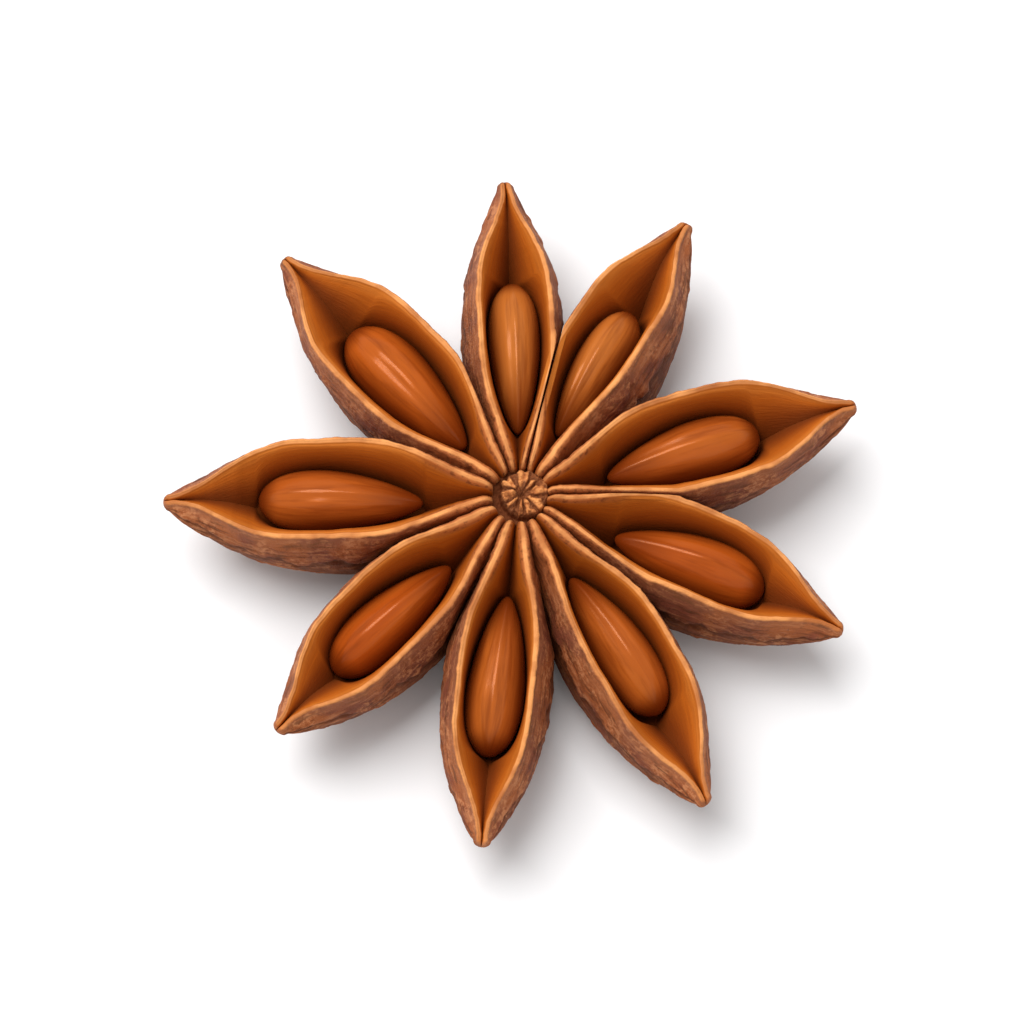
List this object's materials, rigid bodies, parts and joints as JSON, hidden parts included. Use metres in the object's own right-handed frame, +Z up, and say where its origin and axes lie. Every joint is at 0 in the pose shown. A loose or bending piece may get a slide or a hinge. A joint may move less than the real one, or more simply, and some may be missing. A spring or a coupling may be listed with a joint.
{
  "type": "star anise pod",
  "caption": "Dried star-shaped spice pod: boat-shaped woody carpels split open round a short column, each holding a glossy seed.",
  "frame": {"origin": "on the axis of the central column, at the stalk scar on its underside, which lies in the plane the pod rests on", "axes": "+Z up through the column, out of the side where the carpels open; +X and +Y lie in the resting plane, with a carpel a little above +X and one along +Y"},
  "size_m": [0.0349, 0.0349, 0.0076],
  "materials": {
    "husk": "dry woody husk: rough reddish-brown outside, smooth satin caramel inside, pale cut lips",
    "seed": "hard glossy chestnut-brown seed coat"
  },
  "bodies": {
    "root": {"husk": "husk", "seed_1": "seed", "seed_2": "seed", "seed_3": "seed", "seed_4": "seed", "seed_5": "seed", "seed_6": "seed", "seed_7": "seed", "seed_8": "seed", "seed_9": "seed"}
  },
  "joints": []
}
